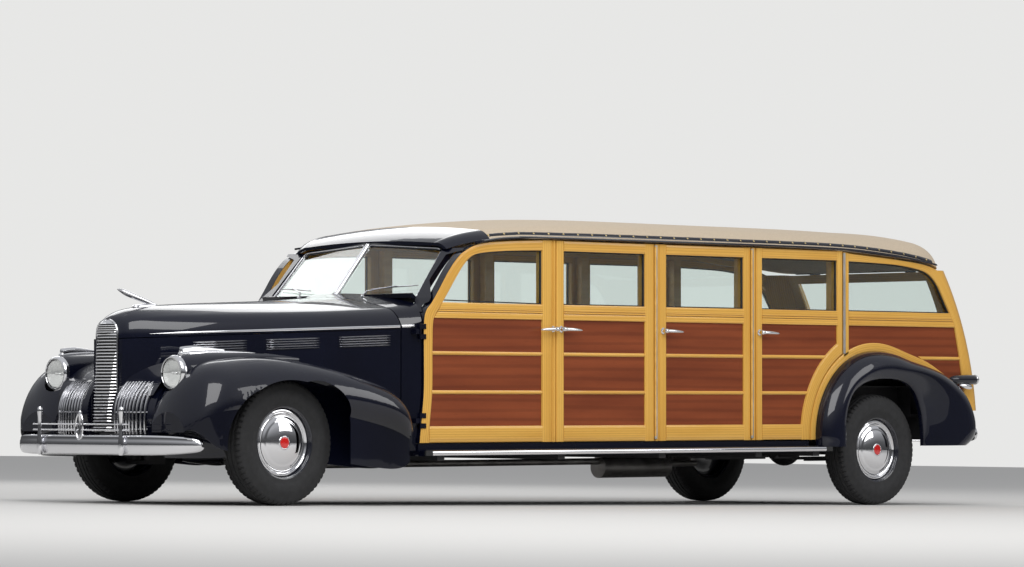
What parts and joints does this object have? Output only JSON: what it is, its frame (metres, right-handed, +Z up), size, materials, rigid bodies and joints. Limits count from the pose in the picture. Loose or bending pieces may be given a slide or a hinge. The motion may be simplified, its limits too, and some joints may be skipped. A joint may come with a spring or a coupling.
{
  "type": "eight-door wood-bodied station wagon",
  "caption": "Long station wagon with a rounded steel front, upright grille, wood-framed doors with sunk panels, fabric roof and drop tailgate.",
  "frame": {"origin": "on the floor under the middle of the overall length and width, with the car standing on its tyres", "axes": "+X forward, +Y to the car's left, +Z up"},
  "size_m": [7.4336, 1.9658, 1.8808],
  "materials": {
    "navy_paint": "deep gloss navy",
    "chassis_black": "satin black",
    "dash_paint": "satin brown",
    "engine_iron": "painted iron",
    "bare_steel": "dull steel",
    "chrome": "polished",
    "ash_wood": "varnished golden ash",
    "mahogany": "varnished mahogany",
    "tan_fabric": "coated tan cloth",
    "tan_leather": "tan hide",
    "tyre_rubber": "black rubber",
    "wheel_plastic": "dark moulded rim",
    "window_glass": "clear",
    "lamp_glass": "clear fluted",
    "lamp_red": "red lamp glass",
    "trim_black": "seal"
  },
  "bodies": {
    "door_front_left": {"door_front_left": "ash_wood", "door_glass_front_left": "window_glass"},
    "door_front_right": {"door_front_right": "ash_wood", "door_glass_front_right": "window_glass"},
    "door_second_left": {"door_second_left": "ash_wood", "door_glass_second_left": "window_glass"},
    "door_second_right": {"door_second_right": "ash_wood", "door_glass_second_right": "window_glass"},
    "door_third_left": {"door_third_left": "ash_wood", "door_glass_third_left": "window_glass"},
    "door_third_right": {"door_third_right": "ash_wood", "door_glass_third_right": "window_glass"},
    "door_rear_left": {"door_rear_left": "ash_wood", "door_glass_rear_left": "window_glass"},
    "door_rear_right": {"door_rear_right": "ash_wood", "door_glass_rear_right": "window_glass"},
    "hood": {"hood": "navy_paint"},
    "tailgate": {"tailgate": "ash_wood"},
    "liftgate": {"liftgate": "ash_wood", "liftgate_glass": "window_glass"},
    "knuckle_left": {"knuckle_left": "chassis_black"},
    "knuckle_right": {"knuckle_right": "chassis_black"},
    "wheel_front_left": {"wheel_front_left": "chrome", "tyre_front_left": "tyre_rubber"},
    "wheel_front_right": {"wheel_front_right": "chrome", "tyre_front_right": "tyre_rubber"},
    "wheel_rear_left": {"wheel_rear_left": "chrome", "tyre_rear_left": "tyre_rubber"},
    "wheel_rear_right": {"wheel_rear_right": "chrome", "tyre_rear_right": "tyre_rubber"},
    "root": {"body_framing": "ash_wood", "chassis_frame": "chassis_black", "cowl": "navy_paint", "dashboard": "dash_paint", "drip_rails": "navy_paint", "engine_block": "engine_iron", "exhaust": "bare_steel", "floor_pan": "chassis_black", "front_bumper": "chrome", "front_fenders": "navy_paint", "front_suspension": "chassis_black", "fuel_tank": "chassis_black", "grille": "chrome", "headlamp_bezels": "chrome", "headlamp_lenses": "lamp_glass", "nose_shell": "navy_paint", "quarter_glass": "window_glass", "quarter_panels": "ash_wood", "rear_axle": "chassis_black", "rear_bumper": "chrome", "rear_fenders": "navy_paint", "roof": "tan_fabric", "running_boards": "navy_paint", "seat_backs": "tan_leather", "seat_cushions": "tan_leather", "seat_frames": "chassis_black", "side_grilles": "chrome", "steering_wheel": "wheel_plastic", "tail_lamps": "navy_paint", "windscreen_glass": "window_glass"}
  },
  "joints": [
    {"name": "door_front_left_hinge", "type": "hinge", "parent": "root", "child": "door_front_left", "pos_m": [1.74931, 0.846, 0.97295], "axis": [-0.0155, 0, -0.9999], "range_deg": [0, 65]},
    {"name": "door_front_right_hinge", "type": "hinge", "parent": "root", "child": "door_front_right", "pos_m": [1.74931, -0.846, 0.97295], "axis": [0.0155, 0, 0.9999], "range_deg": [0, 65]},
    {"name": "door_second_left_hinge", "type": "hinge", "parent": "root", "child": "door_second_left", "pos_m": [-0.29944, 0.846, 1.00471], "axis": [0.0155, 0, 0.9999], "range_deg": [0, 70]},
    {"name": "door_second_right_hinge", "type": "hinge", "parent": "root", "child": "door_second_right", "pos_m": [-0.29944, -0.846, 1.00471], "axis": [-0.0155, 0, -0.9999], "range_deg": [0, 70]},
    {"name": "door_third_left_hinge", "type": "hinge", "parent": "root", "child": "door_third_left", "pos_m": [-1.20433, 0.846, 1.01873], "axis": [0.0155, 0, 0.9999], "range_deg": [0, 70]},
    {"name": "door_third_right_hinge", "type": "hinge", "parent": "root", "child": "door_third_right", "pos_m": [-1.20433, -0.846, 1.01873], "axis": [-0.0155, 0, -0.9999], "range_deg": [0, 70]},
    {"name": "door_rear_left_hinge", "type": "hinge", "parent": "root", "child": "door_rear_left", "pos_m": [-2.10922, 0.846, 1.03276], "axis": [0.0155, 0, 0.9999], "range_deg": [0, 70]},
    {"name": "door_rear_right_hinge", "type": "hinge", "parent": "root", "child": "door_rear_right", "pos_m": [-2.10922, -0.846, 1.03276], "axis": [-0.0155, 0, -0.9999], "range_deg": [0, 70]},
    {"name": "hood_hinge", "type": "hinge", "parent": "root", "child": "hood", "pos_m": [1.84342, 0, 1.30153], "axis": [0, -1, 0], "range_deg": [0, 42]},
    {"name": "tailgate_hinge", "type": "hinge", "parent": "root", "child": "tailgate", "pos_m": [-3.58831, 0, 0.65163], "axis": [0, -1, 0], "range_deg": [0, 90]},
    {"name": "liftgate_hinge", "type": "hinge", "parent": "root", "child": "liftgate", "pos_m": [-3.23431, 0, 1.61627], "axis": [0, 1, 0], "range_deg": [0, 75]},
    {"name": "steering_left", "type": "hinge", "parent": "root", "child": "knuckle_left", "pos_m": [2.785, 0.62, 0.375], "axis": [0.0155, 0, 0.9999], "range_deg": [-28, 28]},
    {"name": "steering_right", "type": "hinge", "parent": "root", "child": "knuckle_right", "pos_m": [2.785, -0.62, 0.375], "axis": [0.0155, 0, 0.9999], "range_deg": [-28, 28]},
    {"name": "wheel_front_left_spin", "type": "hinge", "parent": "knuckle_left", "child": "wheel_front_left", "pos_m": [2.785, 0.722, 0.375], "axis": [0, 1, 0], "continuous": true},
    {"name": "wheel_front_right_spin", "type": "hinge", "parent": "knuckle_right", "child": "wheel_front_right", "pos_m": [2.785, -0.722, 0.375], "axis": [0, 1, 0], "continuous": true},
    {"name": "wheel_rear_left_spin", "type": "hinge", "parent": "root", "child": "wheel_rear_left", "pos_m": [-2.443, 0.782, 0.375], "axis": [0, 1, 0], "continuous": true},
    {"name": "wheel_rear_right_spin", "type": "hinge", "parent": "root", "child": "wheel_rear_right", "pos_m": [-2.443, -0.782, 0.375], "axis": [0, 1, 0], "continuous": true}
  ],
  "couplings": [
    {"joint": "steering_right", "follows": "steering_left", "ratio": 1}
  ]
}
